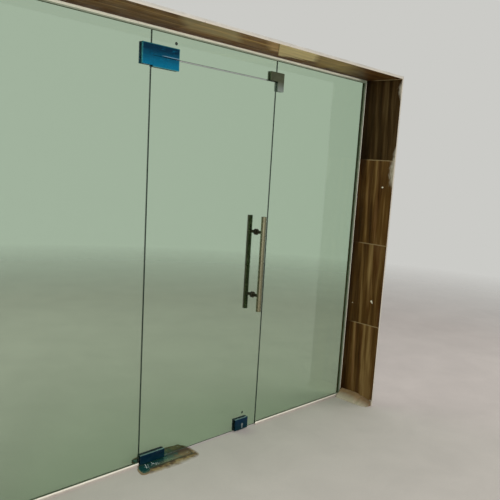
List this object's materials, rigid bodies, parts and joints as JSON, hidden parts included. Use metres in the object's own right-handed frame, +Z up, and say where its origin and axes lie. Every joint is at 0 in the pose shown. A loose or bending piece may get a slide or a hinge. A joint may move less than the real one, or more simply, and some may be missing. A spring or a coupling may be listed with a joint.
{
  "type": "shop window",
  "caption": "Frameless glass shopfront in a tiled reveal, with two fixed side panes, an overpanel and a double-acting glass door on a floor spring.",
  "frame": {"origin": "at finished floor level, in the middle of the opening's width, on the middle plane of the glass", "axes": "+X along the facade to the right as seen from the street, +Y into the shop, +Z up"},
  "size_m": [2.803, 0.4054, 2.434],
  "materials": {
    "mortar": "rough cement bed",
    "tile": "glossy glaze with a dark brown wood pattern",
    "grout": "fine pale grout",
    "channel": "satin anodised",
    "screw": "zinc-plated",
    "block": "plain moulded",
    "gasket": "matt black",
    "pane": "clear toughened glass, greenish at its edges",
    "film_cover": "satin steel under blue protective film",
    "bare_cover": "satin stainless",
    "clamp": "as cast",
    "pin": "ground",
    "bush": "plain bearing plastic",
    "case": "dark primer",
    "spring_cover": "satin steel under film",
    "cement": "trowelled cement, stained",
    "cylinder": "machined",
    "plug": "machined",
    "bolt": "ground",
    "handle": "satin stainless"
  },
  "bodies": {
    "shopfront": {"mortar_bed": "mortar", "left_jamb_tile_1": "tile", "left_jamb_tile_2": "tile", "left_jamb_tile_3": "tile", "left_jamb_tile_4": "tile", "right_jamb_tile_1": "tile", "right_jamb_tile_2": "tile", "right_jamb_tile_3": "tile", "right_jamb_tile_4": "tile", "head_tile_1": "tile", "head_tile_2": "tile", "head_tile_3": "tile", "head_tile_4": "tile", "head_tile_5": "tile", "tile_grout": "grout", "head_channel": "channel", "left_channel": "channel", "right_channel": "channel", "left_floor_channel": "channel", "right_floor_channel": "channel", "channel_screws": "screw", "setting_blocks": "block", "glazing_gaskets": "gasket", "left_panel_glass": "pane", "right_panel_glass": "pane", "overpanel_glass": "pane", "pivot_patch_front_cover": "film_cover", "pivot_patch_rear_cover": "film_cover", "pivot_patch_clamps": "clamp", "top_pivot_pin": "pin", "corner_patch_front_cover": "bare_cover", "corner_patch_rear_cover": "bare_cover", "corner_patch_clamps": "clamp", "fixed_patch_gaskets": "gasket", "fixed_screws": "screw", "floor_spring_case": "case", "floor_spring_closer": "case", "floor_spring_cover": "spring_cover", "cement_collar": "cement"},
    "door": {"door_glass": "pane", "top_patch_front_cover": "film_cover", "top_patch_rear_cover": "film_cover", "top_patch_clamps": "clamp", "top_pivot_bush": "bush", "bottom_patch_front_cover": "film_cover", "bottom_patch_rear_cover": "film_cover", "bottom_patch_clamps": "clamp", "floor_spring_spindle": "pin", "lock_front_cover": "film_cover", "lock_rear_cover": "film_cover", "lock_case": "clamp", "lock_cylinder": "cylinder", "outer_handle": "handle", "inner_handle": "handle", "handle_posts": "handle", "door_gaskets": "gasket", "door_screws": "screw"},
    "bolt": {"lock_bolt": "bolt"},
    "plug": {"lock_plug": "plug"}
  },
  "joints": [
    {"name": "door_swing", "type": "hinge", "parent": "shopfront", "child": "door", "pos_m": [-0.3895, 0, 0], "axis": [0, 0, 1], "range_deg": [-90, 90], "stiffness_Nm_per_rad": 12},
    {"name": "lock_bolt_slide", "type": "slide", "parent": "door", "child": "bolt", "axis": [0, 0, -1], "range_m": [0, 0.022]},
    {"name": "lock_plug_turn", "type": "hinge", "parent": "door", "child": "plug", "pos_m": [0.3255, 0, 0.041], "axis": [0, 1, 0], "range_deg": [0, 90]}
  ],
  "couplings": [
    {"joint": "lock_plug_turn", "follows": "lock_bolt_slide", "rad_per_m": 71.39}
  ]
}
